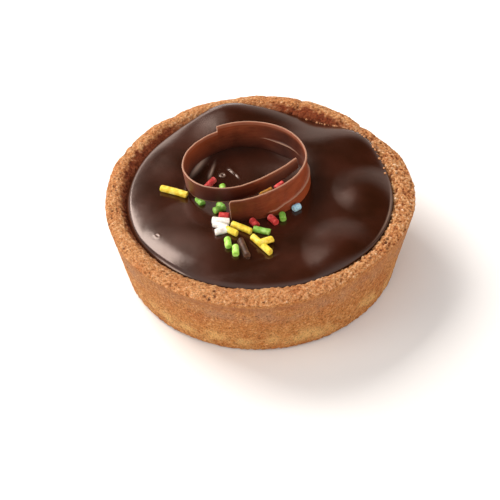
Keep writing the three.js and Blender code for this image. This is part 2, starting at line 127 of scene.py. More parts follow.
SPRINKLE_RADIUS = 0.9
SPRINKLE_SINK = 0.3
SPRINKLE_BEARING = 0.35
# Centre x, y, heading in degrees, whole length, lift off the glaze.
SPRINKLES = {
    "yellow": [
        (-22, 1.1, -22, 7.3, 0), (-7.5, -15.9, -35, 3.6, 0.1), (-4.9, -14.5, -32, 5.8, 0),
        (-0.1, -20.6, -52, 7.3, 0), (1, -19.9, 24, 4, 0.6),
    ],
    "orange": [(1.8, 0.6, 29, 3.5, 0)],
    "green": [
        (-15.3, -2.5, -61, 2.8, -0.3), (-9.9, -5.6, -65, 2.6, 0.1), (-10.4, -6.6, 34, 3.2, 0.1),
        (0.2, -15.4, -18, 4.3, 0), (5.7, -9.9, -86, 2.3, 0),
    ],
    "light_green": [
        (-9.4, 2.3, -87, 2.4, 0), (-8.4, -20.1, -84, 2.9, 0), (-6.6, -22.7, -89, 2.9, 0),
    ],
    "red": [
        (-12.7, 4.3, 55, 4.2, 0), (-9.2, -9.6, -8, 2.8, 0.1), (-1.6, -12.5, -58, 2.6, 0),
        (3.2, -11.1, -57, 2.9, 0), (5.4, 2.2, 46, 2.9, 0),
    ],
    "white": [(-10.1, -11.8, -9, 4.5, 0.1), (-10.1, -13.9, -28, 4.1, 0.1), (-10, -15.7, 18, 3.3, 0)],
    "blue": [(9.4, -6.7, 32, 2.0, 0)],
    "brown": [(-4.5, -21.6, -74, 5.9, -0.3)],
}


# ---- helpers ----
def waves(azimuth, terms):
    """Sum of slow waves at an azimuth in radians."""
    return sum(c * np.cos(n * azimuth) + s * np.sin(n * azimuth) for n, c, s in terms)


def bump_at(azimuth, middle, spread):
    """A smooth bump of 1 round a middle in degrees; the azimuth is in radians."""
    apart = (np.degrees(azimuth) - middle + 180) % 360 - 180
    return np.exp(-((apart / spread) ** 2))


def bell(value, middle, spread):
    return np.exp(-(((value - middle) / spread) ** 2))


def depth_of(spots, azimuth):
    """Total depth at an azimuth of spots given as azimuth, spread, depth."""
    return sum(depth * bump_at(azimuth, middle, spread) for middle, spread, depth in spots)


def smoothstep(value, low, high):
    t = np.clip((value - low) / (high - low), 0, 1)
    return t * t * (3 - 2 * t)


def noise_at(points, scale, offset=0.0):
    """Smooth noise, about -1 to 1, at points in millimetres; scale is the size of its features."""
    shift = Vector((offset, 2 * offset, -offset))
    return np.array([noise.noise(Vector(p) / scale + shift) for p in points])


def cells_at(points, scale, offset=0.0):
    """Distances to the nearest cell points, in cells."""
    shift = Vector((offset, -offset, 2 * offset))
    return np.array([noise.voronoi(Vector(p) / scale + shift)[0][0] for p in points])


def put(name, data):
    obj = bpy.data.objects.new(name, data)
    bpy.context.scene.collection.objects.link(obj)
    return obj


def mesh_object(name, points_mm, faces):
    mesh = bpy.data.meshes.new(name)
    mesh.from_pydata((np.asarray(points_mm) * MM).tolist(), [], faces)
    mesh.validate()
    mesh.polygons.foreach_set("use_smooth", [True] * len(mesh.polygons))
    mesh.update()
    return put(name, mesh)


def add_attributes(obj, **lists):
    """Add a value for each point under each name; poles that are left out get 0."""
    for name, values in lists.items():
        padded = np.zeros(len(obj.data.vertices), dtype=np.float32)
        padded[:len(values)] = values
        obj.data.attributes.new(name, "FLOAT", "POINT").data.foreach_set("value", padded)


def ring_points(reach, azimuth, z):
    return np.stack([reach * np.cos(azimuth), reach * np.sin(azimuth), z + 0 * azimuth], 1)


def quads(first, last, size):
    """Quads between rings of size points; the rings start at the points from first to last."""
    pairs = [(a, (a + 1) % size) for a in range(size)]
    rings = [(low, low + size) for low in range(first, last, size)]
    return [(low + a, low + b, high + b, high + a) for low, high in rings for a, b in pairs]


def turned_faces(rows, sectors, first=0):
    """Faces of a body of rows x sectors points from first on, then a bottom and a top pole."""
    bottom = first + rows * sectors
    last = bottom - sectors
    faces = quads(first, last, sectors)
    for a in range(sectors):
        b = (a + 1) % sectors
        faces += [(bottom, first + b, first + a), (bottom + 1, last + a, last + b)]
    return faces


# ---- materials ----
class Nodes:
    """The node tree of a world or a material, with short calls to add and link its nodes."""

    def __init__(self, owner, coordinates):
        owner.use_nodes = True
        self.tree = owner.node_tree
        self.coordinates = self.new("TexCoord").outputs[coordinates]

    def new(self, kind, **inputs):
        """A node; an input is a value or a socket to link."""
        node = self.tree.nodes.new("ShaderNode" + kind)
        self.set(node, **inputs)
        return node

    def set(self, node, **inputs):
        for name, value in inputs.items():
            self.feed(node.inputs[name.replace("_", " ")], value)

    def feed(self, socket, value):
        if isinstance(value, bpy.types.NodeSocket):
            self.tree.links.new(value, socket)
        else:
            socket.default_value = value

    def ramp(self, source, *stops):
        """stops are (position, colour or value)."""
        node = self.new("ValToRGB", Fac=source)
        ramp = node.color_ramp
        while len(ramp.elements) < len(stops):
            ramp.elements.new(0.5)
        for element, (position, colour) in zip(ramp.elements, stops):
            element.position = position
            element.color = rgba(colour)
        return node.outputs["Color"]

    def mix(self, factor, first, second, blend="MIX"):
        node = self.new("Mix", Factor=factor)
        node.data_type = "RGBA"
        node.blend_type = blend
        self.feed(node.inputs[6], rgba(first))
        self.feed(node.inputs[7], rgba(second))
        return node.outputs[2]

    def math(self, operation, *values):
        node = self.new("Math")
        node.operation = operation
        for socket, value in zip(node.inputs, values):
            self.feed(socket, value)
        return node.outputs[0]


class Surface(Nodes):
    """A material, with the textures that it is made of."""

    def __init__(self, name):
        self.material = bpy.data.materials.new(name)
        super().__init__(self.material, "Object")

    def finish(self, **inputs):
        self.set(self.tree.nodes["Principled BSDF"], **inputs)
        return self.material

    def noise(self, size_mm, detail=4.0, roughness=0.55, stretch=None):
        vector = self.coordinates
        if stretch:
            vector = self.new("Mapping", Scale=stretch, Vector=vector).outputs["Vector"]
        scale = 1 / (size_mm * MM)
        node = self.new("TexNoise", Scale=scale, Detail=detail, Roughness=roughness, Vector=vector)
        return node.outputs["Fac"]

    def attribute(self, name):
        node = self.new("Attribute")
        node.attribute_name = name
        return node.outputs["Fac"]

    def part(self, name, share):
        """An attribute times a share, which is a number or a socket."""
        return self.math("MULTIPLY", self.attribute(name), share)

    def bump(self, height, distance_mm, strength=1.0, **after):
        node = self.new("Bump", Strength=strength, Distance=distance_mm * MM, Height=height, **after)
        return node.outputs["Normal"]


def rgba(colour):
    """Linear RGBA from a hex string, a grey value or a linear triple; a socket stays one."""
    if isinstance(colour, bpy.types.NodeSocket):
        return colour
    if isinstance(colour, str):
        channels = [int(colour[i:i + 2], 16) / 255 for i in (1, 3, 5)]
        linear = [c / 12.92 if c < 0.04045 else ((c + 0.055) / 1.055) ** 2.4 for c in channels]
        return (*linear, 1)
    if isinstance(colour, (int, float)):
        return (colour, colour, colour, 1)
    return (*colour[:3], 1)


def pastry_material():
    """Baked short pastry: golden, grainy, with darker pits, paler crumbs and painted shade on the rim's
    inner slope.
    """
    m = Surface("pastry")
    broad = m.noise(9, 4)
    grain = m.noise(0.55, 3, 0.7)
    speckle = m.noise(0.4, 3, 0.8, (1, 1, 0.6))
    texture = m.math("ADD", m.part("crumb", 0.5), m.math("MULTIPLY", grain, 0.5))
    rim = m.ramp(
        texture, (0.3, "#783a19"), (0.41, "#c07e4a"), (0.51, "#d49862"), (0.6, "#e3af7f"),
        (0.74, "#fcdcbc"),
    )
    wall = m.ramp(texture, (0.3, "#8e4c20"), (0.44, "#ba783f"), (0.54, "#c98b4d"), (0.7, "#eeb981"))
    colour = m.mix(m.attribute("wall"), rim, wall)
    baked = m.ramp(broad, (0.32, "#dc9e6c"), (0.5, "#ffffff"), (0.7, "#ecbc90"))
    colour = m.mix(0.4, colour, baked, "MULTIPLY")
    patch = m.noise(6, 3, 0.6)
    colour = m.mix(m.part("low", m.ramp(patch, (0.45, 0.0), (0.62, 0.75))), colour, "#e3b672")
    colour = m.mix(m.part("high", m.ramp(patch, (0.4, 0.6), (0.6, 0.1))), colour, "#a87d5f")
    fine = m.ramp(speckle, (0.38, 0.25), (0.47, 0.86), (0.58, 1.0))
    colour = m.mix(0.8, colour, fine, "MULTIPLY")
    colour = m.mix(m.attribute("pit"), colour, "#703214")
    colour = m.mix(m.part("band", 0.55), colour, "#935e42")
    # Painted shade on the rim's inner slope.
    colour = m.mix(m.attribute("slope"), colour, "#a0664c", "MULTIPLY")
    # Chocolate stain, with painted shade in the crevice at the glaze.
    colour = m.mix(m.part("stain", 0.85), colour, "#43200f")
    return m.finish(
        Base_Color=colour, Roughness=m.ramp(grain, (0.3, 0.95), (0.7, 0.72)),
        Normal=m.bump(speckle, 0.3, Normal=m.bump(grain, 0.5)), IOR=1.45, Specular_IOR_Level=0.25,
        Subsurface_Weight=0.08, Subsurface_Scale=0.001, Subsurface_Radius=(1.0, 0.5, 0.25),
    )


def glaze_material():
    """Set chocolate: dark, smooth and glossy, faintly uneven, with paler bubble rims and painted
    highlights.
    """
    m = Surface("chocolate_glaze")
    broad = m.noise(11, 2)
    cloud = m.noise(3.2, 3)
    fine = m.noise(0.5, 3, 0.6)
    colour = m.ramp(broad, (0.35, "#280f04"), (0.65, "#351407"))
    colour = m.mix(m.ramp(cloud, (0.45, 0.0), (0.85, 0.15)), colour, "#4c2414")
    # Paler bubble rims, and painted highlights on folds and near the edge.
    colour = m.mix(m.part("bloom", 0.85), colour, "#c9ab98")
    return m.finish(
        Base_Color=colour, Roughness=m.ramp(broad, (0.3, 0.17), (0.7, 0.23)),
        Normal=m.bump(fine, 0.012, 0.5, Normal=m.bump(cloud, 0.05, 0.6)),
        IOR=1.62, Specular_IOR_Level=0.5, Specular_Tint=(1.0, 0.82, 0.75, 1.0),
    )


def ribbon_material():
    """Tempered chocolate: reddish brown, satin, fine drag lines; painted edge highlights, shade and
    glow.
    """
    m = Surface("chocolate_ribbon")
    cloud = m.noise(4, 3)
    drag = m.noise(0.45, 4, 0.6, (0.12, 0.12, 1))
    fine = m.noise(0.3, 2, 0.6)
    colour = m.ramp(cloud, (0.35, "#692a12"), (0.5, "#7d371b"), (0.65, "#8a3c1d"))
    colour = m.mix(m.ramp(drag, (0.42, 0.0), (0.75, 0.4)), colour, "#a5623f")
    # Painted shade, darker towards the foot, on the tail and on the far wall's inside.
    colour = m.mix(m.part("shade", 0.9), colour, "#2c0d07")
    # Painted glow of light shining through the thin chocolate.
    colour = m.mix(m.part("warm", 0.7), colour, "#a54a22")
    # The tail's outside turns greyer.
    colour = m.mix(m.part("dusty", 0.6), colour, "#8a5f4c")
    # Painted highlights along the edges, the ledge and lip lines, and the cut ends.
    colour = m.mix(m.attribute("edge"), colour, "#a1775f")
    return m.finish(
        Base_Color=colour, Roughness=m.ramp(cloud, (0.3, 0.4), (0.7, 0.5)),
        Normal=m.bump(fine, 0.04, 0.5, Normal=m.bump(drag, 0.08, 0.6)),
        IOR=1.48, Specular_IOR_Level=0.4,
    )


def sugar_material(name, colour, pale, dark):
    """Hard pressed sugar: slightly waxy, with paler and darker patches."""
    m = Surface(name)
    cloud = m.noise(1.2, 3)
    speck = m.noise(0.35, 3, 0.7)
    shade = m.ramp(cloud, (0.3, dark), (0.5, colour), (0.72, pale))
    shade = m.mix(0.5, shade, m.ramp(speck, (0.35, 0.88), (0.6, 1.0)), "MULTIPLY")
    return m.finish(
        Base_Color=shade, Roughness=m.ramp(speck, (0.3, 0.42), (0.7, 0.6)),
        Normal=m.bump(speck, 0.05, 0.6), IOR=1.45, Specular_IOR_Level=0.4,
        Subsurface_Weight=0.15, Subsurface_Scale=0.0008,
    )


# ---- pastry case ----
CASE_SECTORS = 800
# The rim is most crumbly on one side: its azimuth and spread, and how crumbly it is away from
# there and at its middle.
CRUMBLY_SIDE = (-5, 60)
CRUMBLY_LEAST = 0.7
CRUMBLY_MOST = 1.3
WALL_ROUGHNESS = 0.5
# Sizes and offsets of the crust's grain: slow swell; coarse, middle and fine.
SWELL_GRAIN = (7.5, 6.6)
CRUST_GRAINS = [(3.4, 3.1), (1.15, 7.7), (0.55, 1.3)]
# The same of whole crumbs, of pits, of the patches that have pits, and of the ragged foot.
CRUMB_CELLS = (0.95, 2.6)
PIT_CELLS = (1.35, 5.2)
PIT_PATCHES = (4.5, 9.4)
FOOT_GRAIN = (1.0, 4.4)
CRUMB_RADIUS = 0.62
CRUMB_MEAN = 0.45
# Weights of coarse, middle and fine grain and of crumbs: in relief, colour and the streaks of the
# slope's painted shade.
RELIEF_WEIGHTS = (0.14, 0.16, 0.15, 0.16)
TONE_WEIGHTS = (0, 0.15, 0.4, 0.25)
STREAK_WEIGHTS = (0.5, 0.7, 0.4, 0)
WALL_TONE = 0.7
# Swell, depth of the pits and how dark they are: on the wall, and what the rim adds.
SWELL_HEIGHT = (0.1, 0.25)
PIT_DEPTH = (0.08, 0.5)
PIT_SHADE = (0.15, 0.8)
# A pit's radius in cells, what fine and coarse grain add to it, and its soft border.
PIT_RADIUS = 0.3
PIT_FINE = 0.3
PIT_COARSE = 0.2
PIT_BORDER = (0, 0.25)
# How much a crumbly place, from this crumbliness on, widens the patches; and their border.
PATCH_CRUMBLY = (0.35, 0.8)
PATCH_BORDER = (-0.2, 0.25)
# Share of the rim's width over which its inner edge is ragged, and how much more.
INNER_EDGE = 0.3
INNER_RAGGED = 0.9
# The direction turns over the rim with this power, and always points up a little.
RIM_TURN = 2.5
LEAST_UP = 0.05
# Breaks in the rim go this far down the wall.
BREAK_REACH = 2.5
# A soft groove round the wall under the rim: height, half width, depth. It wanders up and down
# twice a turn and fades three times: least share, what a wave adds, and the wave's start.
GROOVE = (19.6, 1.1, 0.16)
GROOVE_WANDER = 0.5
GROOVE_FADE = (0.65, 0.35, 40)
# Small sharp nicks in the rim: azimuth, spread, depth.
RIM_NICKS = [
    (42.2, 1.0, 0.4), (123, 1.1, 0.3), (152.5, 2.2, 0.4), (146.8, 1.1, 0.4), (97.2, 1.2, 0.3),
    (32.5, 1.6, 0.25), (70.7, 0.8, 0.4), (85, 0.8, 0.15), (134, 2.5, -0.2),
]
# Bites in the lower edge: how high they go, how deep, how dark, and their soft border.
FOOT_HEIGHT = 1.4
FOOT_RAGGED = 0.34
FOOT_SHADE = 0.6
FOOT_BORDER = (-0.3, 0.4)
# Painted shade on the rim's inner slope: how dark it is, and how ragged the border of that shade.
SLOPE_SHADE = 0.95
SLOPE_GAIN = 1.3
SLOPE_RAGGED = 0.45
SLOPE_BORDER = (0.35, 1.05)
# Chocolate stain and painted shade darken the rim's inner edge over this share of its width, less where
# crumbs stand out.
STAIN_WIDTH = 0.1
STAIN_CRUMB = (0.2, 0.75)
# Heights round which the wall is paler and greyer, and their spreads.
PALE_HEIGHT = (4.5, 3.5)
GREY_HEIGHT = (16.5, 3.5)
# The inner wall is finely meshed down to here, and grainy down to the lower height.
WELL_FINE_TO = 16
WELL_GRAINY_TO = 13


def well_radius(azimuth, z):
    at_rim = INNER_RADIUS + waves(azimuth, INNER_WAVES) + depth_of(THIN_RIM, azimuth)
    share = (z - FLOOR_THICKNESS) / (CASE_HEIGHT - FLOOR_THICKNESS)
    return WELL_RADIUS + (at_rim - WELL_RADIUS) * share


def wall_radius(azimuth, z):
    at_base = BASE_RADIUS + waves(azimuth, BASE_WAVES)
    middle, spread, depth = RIM_BULGE
    at_rim = RIM_RADIUS + waves(azimuth, RIM_WAVES) + depth * bump_at(azimuth, middle, spread)
    share = np.minimum(1, z / (CASE_HEIGHT - RIM_DROP))
    return at_base + (at_rim - at_base) * share


def inner_dip(azimuth, across, z):
    """How far the rim has fallen at this share across it, fading out down the inner wall."""
    up_the_wall = (z - FLOOR_THICKNESS) / (CASE_HEIGHT - RIM_INNER_DROP - FLOOR_THICKNESS)
    dip = 0 * azimuth
    for middle, spread, depth, share in INNER_DIPS:
        dip = dip + depth * bump_at(azimuth, middle, spread) * max(0, 1 - across / share) ** DIP_FALL
    return dip * min(1, up_the_wall)


def case_rows():
    """Rows of the profile from the underside up the outside, over the rim and down inside:
    (share from the inner to the outer wall, height, inset of the radius)."""
    rows = [(1, 0, 14), (1, 0, 5), (1, 0, 2), (1, 0, 1.0)]
    for t in (0.0, 0.25, 0.5, 0.75):
        bend = t * math.pi / 2
        rows.append((1, BASE_ROUND * (1 - math.cos(bend)), BASE_ROUND * (1 - math.sin(bend))))
    top = CASE_HEIGHT - RIM_DROP
    rows += [(1, z, 0) for z in np.linspace(BASE_ROUND, top, 62)]
    for across in np.linspace(0.99, 0.01, 26):
        inner = max(0, 1 - across / RIM_CORNER) ** 2
        outer = max(0, 1 - (1 - across) / RIM_CORNER) ** 2
        rows.append((across, CASE_HEIGHT - RIM_INNER_DROP * inner - RIM_DROP * outer, 0))
    rows += [(0, z, 0) for z in np.linspace(CASE_HEIGHT - RIM_INNER_DROP, WELL_FINE_TO, 14)]
    rows += [(0, 10, 0), (0, FLOOR_THICKNESS, 0)]
    return rows


def facing(across, z):
    """Outward direction of a row of the case, as (outwards, up)."""
    if 0 < across < 1:
        tilt = (across - 0.5) * 2
        out = math.copysign(abs(tilt) ** RIM_TURN, tilt)
        return out, math.sqrt(max(LEAST_UP, 1 - out ** 2))
    if across == 1:
        return (1, 0) if z > 0 else (0, -1)
    return -1, 0


def case_grid(rows):
    """Points of the case and their outward directions, 1 for each point on the rim, heights, and
    shares from the inner to the outer wall."""
    azimuth = np.arange(CASE_SECTORS) / CASE_SECTORS * 2 * math.pi
    broken = depth_of(RIM_BREAKS, azimuth) + depth_of(RIM_NICKS, azimuth)
    top = CASE_HEIGHT - RIM_DROP
    points, normals, facts = [], [], []
    for across, z, inset in rows:
        fallen = z - inner_dip(azimuth, across, z)
        inner, outer = well_radius(azimuth, fallen), wall_radius(azimuth, z) - inset
        reach = inner + (outer - inner) * across
        reach -= across * broken * smoothstep(z, top - BREAK_REACH, top)
        rise = (z / CASE_HEIGHT) ** 2 * waves(azimuth, HEIGHT_WAVES)
        on_rim = 0 < across < 1
        sunk = broken * math.sqrt(math.sin(math.pi * across)) if on_rim else 0
        points.append(ring_points(reach, azimuth, fallen + rise - sunk))
        out, up = facing(across, z)
        normals.append(ring_points(out, azimuth, up))
        facts.append(np.tile([float(on_rim), z, across], (CASE_SECTORS, 1)))
    return np.vstack(points), np.vstack(normals), *np.vstack(facts).T


def weighed(weights, grains):
    return sum(weight * grain for weight, grain in zip(weights, grains))


def crust_grain(points, rim, across):
    """Relief, tone, pits and streaks of the baked crust at points."""
    azimuth = np.arctan2(points[:, 1], points[:, 0])
    coarse, middle, fine = (noise_at(points, *grain) for grain in CRUST_GRAINS)
    crumbs = np.clip(1 - (cells_at(points, *CRUMB_CELLS) / CRUMB_RADIUS) ** 2, 0, 1)
    grains = (coarse, middle, fine, crumbs - CRUMB_MEAN)
    crumbly = CRUMBLY_LEAST + (CRUMBLY_MOST - CRUMBLY_LEAST) * bump_at(azimuth, *CRUMBLY_SIDE)
    # Pits open round the cells' middles where the slow noise allows them, mostly on the rim.
    gain, least = PATCH_CRUMBLY
    patch = smoothstep(noise_at(points, *PIT_PATCHES) + gain * (crumbly - least), *PATCH_BORDER)
    inside = PIT_RADIUS + PIT_FINE * fine + PIT_COARSE * coarse - cells_at(points, *PIT_CELLS)
    pits = smoothstep(inside, *PIT_BORDER) * patch
    ragged = 1 + INNER_RAGGED * np.clip(1 - across / INNER_EDGE, 0, 1)
    relief = np.where(rim > 0, crumbly, WALL_ROUGHNESS) * ragged * weighed(RELIEF_WEIGHTS, grains)
    relief += (SWELL_HEIGHT[0] + SWELL_HEIGHT[1] * rim) * noise_at(points, *SWELL_GRAIN)
    relief -= (PIT_DEPTH[0] + PIT_DEPTH[1] * rim * crumbly) * pits
    tone = 0.5 + weighed(TONE_WEIGHTS, grains) * np.where(rim > 0, crumbly, WALL_TONE)
    pit = pits * (PIT_SHADE[0] + PIT_SHADE[1] * rim)
    return relief, np.clip(tone, 0, 1), np.clip(pit, 0, 1), weighed(STREAK_WEIGHTS, grains)


def pastry_crust():
    rows = case_rows()
    points, normals, on_rim, height, across = case_grid(rows)
    outside = (across == 1) & (height > 0)
    shown = outside | (across < 1) & (height > WELL_GRAINY_TO)
    relief, pit, streak = np.zeros((3, len(points)))
    crumb = np.full(len(points), 0.5)
    relief[shown], crumb[shown], pit[shown], streak[shown] = crust_grain(
        points[shown], on_rim[shown], across[shown])

    azimuth = np.arctan2(points[:, 1], points[:, 0])
    groove_at, groove_width, groove_depth = GROOVE
    wander = GROOVE_WANDER * np.sin(2 * azimuth)
    least, more, start = GROOVE_FADE
    groove = bell(height, groove_at + wander, groove_width) * (across == 1)
    groove *= least + more * np.sin(3 * azimuth + math.radians(start))
    relief -= groove_depth * groove

    # Ragged lower edge: crumbs and small bites.
    low = np.clip(1 - height / FOOT_HEIGHT, 0, 1) * outside
    ragged = np.zeros(len(points))
    ragged[low > 0] = noise_at(points[low > 0], *FOOT_GRAIN)
    relief += low * FOOT_RAGGED * ragged
    pit = np.clip(pit + low * FOOT_SHADE * smoothstep(ragged, *FOOT_BORDER), 0, 1)

    # Chocolate stain, with painted shade, on the inner wall and on the rim's inner edge between its
    # crumbs.
    clean = smoothstep(crumb, *STAIN_CRUMB)
    near_inner = np.clip(1 - across / STAIN_WIDTH, 0, 1) * on_rim
    stain = np.clip((across == 0) * (1 - clean / 2) + near_inner * (1 - clean) / 2, 0, 1)
    stain = np.append(stain, [0, 1])  # the two poles
    # Painted shade on the rim's inner slope where it dips to the glaze, with a ragged border.
    slope = np.zeros(len(points))
    for middle, spread, depth, share in INNER_DIPS:
        border = smoothstep(across / share + SLOPE_RAGGED * streak, *SLOPE_BORDER)
        slope += depth * bump_at(azimuth, middle, spread) * (1 - border)
    slope = SLOPE_SHADE * np.clip(SLOPE_GAIN * slope, 0, 1) * (across < 1)

    points = points + normals * relief[:, None]
    points[:, 2] = np.maximum(points[:, 2], 0) * (height > 0)
    poles = np.array([[0, 0, 0], [0, 0, FLOOR_THICKNESS]])
    faces = turned_faces(len(rows), CASE_SECTORS)
    case = mesh_object("pastry_crust", np.vstack([points, poles]), faces)
    add_attributes(
        case, pit=pit, crumb=crumb, band=groove, stain=stain, wall=outside, slope=slope,
        low=bell(height, *PALE_HEIGHT) * outside, high=bell(height, *GREY_HEIGHT) * outside,
    )
    case.data.materials.append(pastry_material())
    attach(case, "root")
    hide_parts("pastry_case")


CRUMBS = 46
CRUMB_SIZES = (0.14, 0.36)
# Crumbs lie at the back right: azimuth, spread.
CRUMB_PLACE = (42, 34)
CRUMB_SCATTER = 0.35
CRUMB_OVERLAP = 0.1
CRUMB_RISE = 0.25
CRUMB_UNEVEN = 0.45
CRUMB_TONE = 0.22


def pastry_crumbs():
    """Small crumbs broken from the rim, half sunk where the glaze meets the pastry."""
    draw = random.Random(CRUMB_SEED)
    points, faces, crumb = [], [], []
    for _ in range(CRUMBS):
        azimuth = math.radians(draw.gauss(CRUMB_PLACE[0], CRUMB_PLACE[1] / 2))
        size = draw.uniform(*CRUMB_SIZES)
        reach = float(glaze_edge(azimuth)) - abs(draw.gauss(0, CRUMB_SCATTER)) + CRUMB_OVERLAP
        x, y = reach * math.cos(azimuth), reach * math.sin(azimuth)
        z = glaze_at(x, y) - float(crevice_drop(x, y)) + CRUMB_RISE * size
        offset = Vector((draw.uniform(0, 50), 0, 0))
        mesh = bmesh.new()
        bmesh.ops.create_icosphere(mesh, subdivisions=2, radius=size)
        first = len(points)
        for vertex in mesh.verts:
            uneven = CRUMB_UNEVEN * noise.noise(vertex.co.normalized() * 1.3 + offset)
            place = Vector(vertex.co) * (1 + uneven)
            points.append((x + place.x, y + place.y, z + place.z))
            crumb.append(min(max(CRUMB_TONE + 0.5 * noise.noise(place * 4), 0), 1))
        faces += [tuple(first + vertex.index for vertex in face.verts) for face in mesh.faces]
        mesh.free()
    piece = mesh_object("pastry_crumbs", points, faces)
    add_attributes(piece, crumb=crumb)
    piece.data.materials.append(bpy.data.materials["pastry"])
    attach(piece, "root")
    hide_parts("pastry_case")


# ---- glaze ----
GLAZE_SECTORS = 520
GLAZE_RINGS = 150
RING_CROWDING = 1.25
GLAZE_GAP = 0.05
GLAZE_FOOT = FLOOR_THICKNESS + GLAZE_GAP
# Rows of the filling's underside and side: share of the radius, height.
GLAZE_SIDE = [(0.6, GLAZE_FOOT), (0.97, GLAZE_FOOT), (1, GLAZE_FOOT), (1, 12), (1, 18)]
# The glaze's top is uneven: height, size and offset of each noise.
GLAZE_RIPPLES = [(0.04, 9, 2.2), (0.008, 3.5, 8.8)]
# Where the glaze has shrunk from the case: azimuth, spread, width, depth.
CREVICE = (185, 65, 1.6, 1.6)
# A thin painted highlight near the edge: azimuth, spread, distance from the edge, half width, paleness.
PALE_EDGE = (-17, 15, 0.55, 0.2, 0.45)
# Burst bubbles: centre x, y, radius, height, paleness of the rim.
BUBBLES = [
    (-9.3, 8.2, 0.6, 0.16, 0.5), (-26.3, -15.1, 0.55, 0.1, 0.12), (-3.6, -24.6, 0.4, 0.06, 0.1),
]
# In a bubble's radius: half width of its ring and of its pale line. Depth and width of its hollow.
BUBBLE_RING = (0.35, 0.3)
BUBBLE_HOLLOW = (0.8, 0.6)
# Short folds: centre x, y, heading, half length, half width, height.
FOLDS = [
    (-15.3, 11.3, 61, 3.6, 1.2, 0.45), (-11.9, 9.9, 76, 2.5, 0.6, 0.24),
    (-6.8, 9.6, -57, 1.2, 0.32, 0.2), (-5.4, 7.8, -66, 0.9, 0.25, 0.16),
    (-7.4, 10.2, -15, 0.5, 0.22, 0.14), (-0.5, -25.6, 14, 2.4, 0.7, 0.12),
    (2.8, -24.6, 35, 1.6, 0.5, 0.1),
]
# Painted highlight on the first folds: how pale they are where they catch the light, this share
# of their half width from the crest, and in a line so much thinner.
FOLD_BLOOM = [1.1, 0.65, 0.32, 0.26]
FOLD_LIT = 0.3
FOLD_THIN = 3


def lump_height(x, y):
    z = FILLING_LEVEL + 0 * x
    for at_x, at_y, height, spread in LUMPS:
        z = z + height * np.exp(-(((x - at_x) ** 2 + (y - at_y) ** 2) / spread ** 2))
    for at_x, at_y, half_width, half_depth, height, edge in BLOBS:
        inside = 1 - ((x - at_x) / half_width) ** 2 - ((y - at_y) / half_depth) ** 2
        z = z + height * np.maximum(inside, 0) ** edge
    return z


def glaze_edge(azimuth):
    return well_radius(azimuth, CASE_HEIGHT - RIM_INNER_DROP) - GLAZE_GAP


def glaze_height(x, y):
    azimuth = np.arctan2(y, x)
    inward = glaze_edge(azimuth) - np.hypot(x, y)
    roll = 1 - np.clip(inward / SHOULDER_WIDTH, 0, 1)
    z = lump_height(x, y) - SHOULDER_DROP * (1 - np.sqrt(np.maximum(0, 1 - roll ** 2)))
    for middle, spread, height, width in GLAZE_EDGES:
        near_edge = 1 - np.clip(inward / width, 0, 1)
        z = z + height * bump_at(azimuth, middle, spread) * near_edge ** EDGE_FALL
    return z


def glaze_at(x, y):
    return float(glaze_height(np.float64(x), np.float64(y)))


def crevice_drop(x, y):
    """Extra roll at the very edge, where the glaze has shrunk from the case on the left."""
    azimuth = np.arctan2(y, x)
    middle, spread, width, depth = CREVICE
    s = 1 - np.clip((glaze_edge(azimuth) - np.hypot(x, y)) / width, 0, 1)
    return depth * bump_at(azimuth, middle, spread) * (1 - np.sqrt(np.maximum(0, 1 - s ** 2)))


def fold_place(x, y, fold):
    """Place along and across a fold, in its half length and half width."""
    at_x, at_y, heading, half_length, half_width, _ = fold
    turn = math.radians(heading)
    along = (x - at_x) * math.cos(turn) + (y - at_y) * math.sin(turn)
    across = (y - at_y) * math.cos(turn) - (x - at_x) * math.sin(turn)
    return along / half_length, across / half_width


def blemish_height(x, y):
    """Burst bubbles, as small rings with a hollow, and folds left where the glaze was poured."""
    hollow, hollow_width = BUBBLE_HOLLOW
    z = 0 * x
    for at_x, at_y, radius, height, _ in BUBBLES:
        share = np.hypot(x - at_x, y - at_y) / radius
        z = z + height * (bell(share, 1, BUBBLE_RING[0]) - hollow * bell(share, 0, hollow_width))
    for fold in FOLDS:
        along, across = fold_place(x, y, fold)
        z = z + fold[-1] * np.exp(-(along ** 2) - across ** 2)
    return z


def blemish_bloom(x, y):
    """How pale the bubbles' rims are, with the painted highlights on folds and near the edge, 0 to 1.
    """
    pale = 0 * x
    for at_x, at_y, radius, _, paleness in BUBBLES:
        pale = pale + paleness * bell(np.hypot(x - at_x, y - at_y) / radius, 1, BUBBLE_RING[1])
    # Painted highlight on the first folds.
    for fold, paleness in zip(FOLDS, FOLD_BLOOM):
        along, across = fold_place(x, y, fold)
        pale = pale + paleness * np.exp(-(along ** 2) - (across - FOLD_LIT) ** 2 * FOLD_THIN)
    # A thin painted highlight near the edge.
    azimuth = np.arctan2(y, x)
    middle, spread, at, width, paleness = PALE_EDGE
    inward = glaze_edge(azimuth) - np.hypot(x, y)
    pale = pale + paleness * bump_at(azimuth, middle, spread) * bell(inward, at, width)
    return np.clip(pale, 0, 1)


